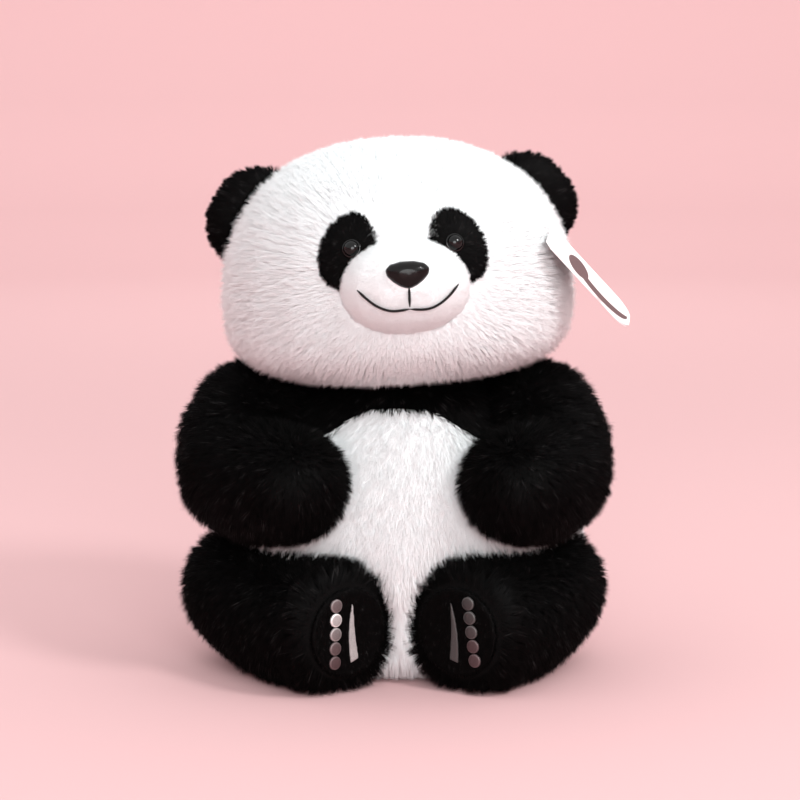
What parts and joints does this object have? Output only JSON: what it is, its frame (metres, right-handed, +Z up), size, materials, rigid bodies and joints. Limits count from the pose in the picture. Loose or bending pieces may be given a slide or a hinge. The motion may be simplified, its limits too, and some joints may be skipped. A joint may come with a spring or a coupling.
{
  "type": "plush panda",
  "caption": "Seated plush panda with black ears, eye patches, arms and legs, a white head and tummy, gloss eyes and nose and a blank hang tag.",
  "frame": {"origin": "middle of the torso's flat base, on the surface it sits on", "axes": "+Z up, the panda faces -Y, +X to the right as seen from its front"},
  "size_m": [0.2472, 0.2142, 0.2919],
  "materials": {
    "white_plush": "matte",
    "black_plush": "matte",
    "short_white_plush": "matte",
    "short_black_plush": "matte",
    "polyester_stuffing": "matte",
    "cotton_bag": "matte",
    "gloss_black_plastic": "gloss",
    "clear_plastic": "satin",
    "black_thread": "satin",
    "white_thread": "satin",
    "sole_pads": "satin",
    "printed_card": "satin",
    "label_tape": "satin"
  },
  "bodies": {
    "body": {"torso_cover": "white_plush", "shoulder_yoke": "black_plush", "torso_stuffing": "polyester_stuffing", "pellet_bag": "cotton_bag", "tail": "white_plush", "care_label": "label_tape"},
    "neck": {"neck_stuffing": "polyester_stuffing", "neck_seam_thread": "white_thread"},
    "head": {"head_cover": "white_plush", "head_stuffing": "polyester_stuffing", "muzzle_cover": "short_white_plush", "muzzle_stuffing": "polyester_stuffing", "left_eye_patch": "short_black_plush", "right_eye_patch": "short_black_plush", "left_eye": "gloss_black_plastic", "right_eye": "gloss_black_plastic", "left_eye_washer": "clear_plastic", "right_eye_washer": "clear_plastic", "nose": "gloss_black_plastic", "nose_washer": "clear_plastic", "mouth_stitch_centre": "black_thread", "mouth_stitch_left": "black_thread", "mouth_stitch_right": "black_thread"},
    "left_ear": {"left_ear_cover": "black_plush", "left_ear_wadding": "polyester_stuffing"},
    "left_arm": {"left_arm_cover": "black_plush", "left_arm_stuffing": "polyester_stuffing"},
    "left_leg": {"left_leg_cover": "black_plush", "left_leg_stuffing": "polyester_stuffing", "left_foot_sole": "short_black_plush", "left_foot_stripe": "sole_pads", "left_foot_toe_1": "sole_pads", "left_foot_toe_2": "sole_pads", "left_foot_toe_3": "sole_pads", "left_foot_toe_4": "sole_pads", "left_foot_toe_5": "sole_pads"},
    "right_ear": {"right_ear_cover": "black_plush", "right_ear_wadding": "polyester_stuffing"},
    "right_arm": {"right_arm_cover": "black_plush", "right_arm_stuffing": "polyester_stuffing"},
    "right_leg": {"right_leg_cover": "black_plush", "right_leg_stuffing": "polyester_stuffing", "right_foot_sole": "short_black_plush", "right_foot_stripe": "sole_pads", "right_foot_toe_1": "sole_pads", "right_foot_toe_2": "sole_pads", "right_foot_toe_3": "sole_pads", "right_foot_toe_4": "sole_pads", "right_foot_toe_5": "sole_pads"},
    "tag": {"tag_card": "printed_card", "tag_loop": "clear_plastic"}
  },
  "joints": [
    {"name": "neck_nod", "type": "hinge", "parent": "body", "child": "neck", "pos_m": [0, 0, 0.15], "axis": [1, 0, 0], "range_deg": [-3, 3], "stiffness_Nm_per_rad": 1.5},
    {"name": "head_turn", "type": "hinge", "parent": "neck", "child": "head", "pos_m": [0, 0, 0.165], "axis": [0, 0, 1], "range_deg": [-15, 15], "stiffness_Nm_per_rad": 0.5},
    {"name": "left_arm_open", "type": "hinge", "parent": "body", "child": "left_arm", "pos_m": [-0.074, 0.026, 0.13], "axis": [0, 0, -1], "range_deg": [0, 35], "stiffness_Nm_per_rad": 0.15},
    {"name": "right_arm_open", "type": "hinge", "parent": "body", "child": "right_arm", "pos_m": [0.074, 0.026, 0.13], "axis": [0, 0, 1], "range_deg": [0, 35], "stiffness_Nm_per_rad": 0.15},
    {"name": "left_leg_splay", "type": "hinge", "parent": "body", "child": "left_leg", "pos_m": [-0.084, -0.022, 0.043], "axis": [0, 0, -1], "range_deg": [0, 25], "stiffness_Nm_per_rad": 0.2},
    {"name": "right_leg_splay", "type": "hinge", "parent": "body", "child": "right_leg", "pos_m": [0.0795, -0.022, 0.043], "axis": [0, 0, 1], "range_deg": [0, 25], "stiffness_Nm_per_rad": 0.2},
    {"name": "left_ear_fold", "type": "hinge", "parent": "head", "child": "left_ear", "pos_m": [-0.07945, -0.00502, 0.25096], "axis": [0.5281, 0.046, 0.848], "range_deg": [-15, 15], "stiffness_Nm_per_rad": 0.03},
    {"name": "right_ear_fold", "type": "hinge", "parent": "head", "child": "right_ear", "pos_m": [0.07285, 0.00725, 0.25894], "axis": [0.6138, 0.046, -0.7881], "range_deg": [-15, 15], "stiffness_Nm_per_rad": 0.03},
    {"name": "tag_swing", "type": "hinge", "parent": "head", "child": "tag", "pos_m": [0.08087, -0.04733, 0.24735], "axis": [-0.1113, -0.9787, -0.1724], "range_deg": [0, 50]}
  ]
}
